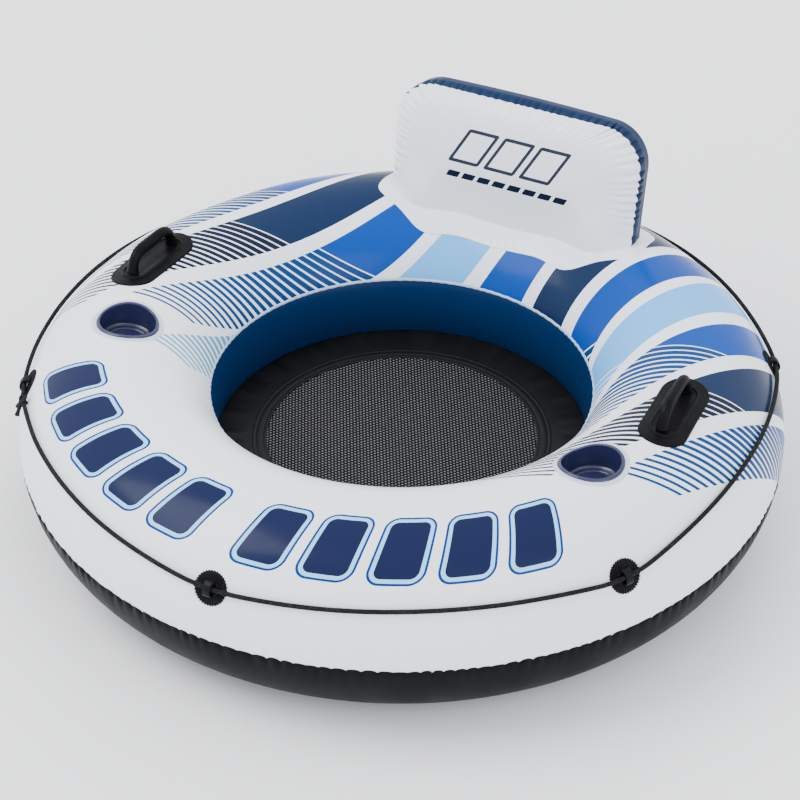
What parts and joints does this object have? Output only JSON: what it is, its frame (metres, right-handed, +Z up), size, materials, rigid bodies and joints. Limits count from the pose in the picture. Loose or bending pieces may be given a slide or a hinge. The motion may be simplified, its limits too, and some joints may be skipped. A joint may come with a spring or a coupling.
{
  "type": "inflatable lounge tube",
  "caption": "Round inflatable lounge tube with a mesh seat floor, an inflated backrest, cup holders, moulded handles and a grab rope held all round.",
  "frame": {"origin": "centre of the ring on the ground", "axes": "+Z up, the backrest stands at +Y, the front is towards -Y"},
  "size_m": [1.35, 1.35, 0.5603],
  "materials": {
    "white_film": "soft gloss film with a printed pattern",
    "black_film": "soft gloss film",
    "blue_film": "soft gloss film",
    "navy_film": "soft gloss film",
    "clear_film": "thin welded film",
    "cup_plastic": "moulded, glossy",
    "black_mesh": "coated open weave",
    "black_rubber": "moulded, satin",
    "black_rope": "twisted cord",
    "valve_plastic": "soft moulded"
  },
  "bodies": {
    "tube": {"top_sheet": "white_film", "bottom_sheet": "black_film", "inner_wall": "blue_film", "outer_seam": "white_film", "rim_seam": "white_film", "floor_seam": "black_film", "seat_floor": "black_film", "mesh_border": "black_film", "mesh_panel": "black_mesh", "cup_holder_left": "cup_plastic", "cup_holder_right": "cup_plastic", "cup_weld_left": "clear_film", "cup_weld_right": "clear_film", "handle_base_left": "black_rubber", "handle_base_right": "black_rubber", "handle_grip_left": "black_rubber", "handle_grip_right": "black_rubber", "grab_rope": "black_rope", "rope_knot": "black_rope", "rope_holder_front": "black_rubber", "rope_holder_front_right": "black_rubber", "rope_holder_rear_right": "black_rubber", "rope_holder_rear": "black_rubber", "rope_holder_rear_left": "black_rubber", "rope_holder_front_left": "black_rubber", "backrest_skirt": "white_film", "main_valve_seat": "valve_plastic"},
    "backrest": {"backrest_front": "white_film", "backrest_shell": "navy_film", "backrest_seam": "white_film", "backrest_valve_seat": "valve_plastic"},
    "main_valve_stem": {"main_valve_stem": "valve_plastic"},
    "main_valve_cap": {"main_valve_cap": "valve_plastic"},
    "main_valve_flap": {"main_valve_flap": "valve_plastic"},
    "backrest_valve_stem": {"backrest_valve_stem": "valve_plastic"},
    "backrest_valve_cap": {"backrest_valve_cap": "valve_plastic"},
    "backrest_valve_flap": {"backrest_valve_flap": "valve_plastic"}
  },
  "joints": [
    {"name": "backrest_lean", "type": "hinge", "parent": "tube", "child": "backrest", "pos_m": [0, 0.458, 0.3475], "axis": [-1, 0, 0], "range_deg": [-5, 10], "stiffness_Nm_per_rad": 40},
    {"name": "main_valve_push", "type": "slide", "parent": "tube", "child": "main_valve_stem", "axis": [0.1193, 0.561, 0.8192], "range_m": [-0.01, 0]},
    {"name": "main_valve_cap_swing", "type": "hinge", "parent": "main_valve_stem", "child": "main_valve_cap", "pos_m": [0.14038, 0.59358, 0.32909], "axis": [0.1703, 0.8013, -0.5736], "range_deg": [0, 170]},
    {"name": "main_valve_flap_swing", "type": "hinge", "parent": "main_valve_stem", "child": "main_valve_flap", "pos_m": [0.12995, 0.57771, 0.30382], "axis": [-0.1703, -0.8013, 0.5736], "range_deg": [0, 50], "stiffness_Nm_per_rad": 0.005},
    {"name": "backrest_valve_push", "type": "slide", "parent": "backrest", "child": "backrest_valve_stem", "axis": [0, 0.9848, -0.1736], "range_m": [-0.01, 0]},
    {"name": "backrest_valve_cap_swing", "type": "hinge", "parent": "backrest_valve_stem", "child": "backrest_valve_cap", "pos_m": [-0.11, 0.54156, 0.41796], "axis": [1, 0, 0], "range_deg": [0, 170]},
    {"name": "backrest_valve_flap_swing", "type": "hinge", "parent": "backrest_valve_stem", "child": "backrest_valve_flap", "pos_m": [-0.11, 0.50997, 0.41652], "axis": [-1, 0, 0], "range_deg": [0, 50], "stiffness_Nm_per_rad": 0.005}
  ]
}
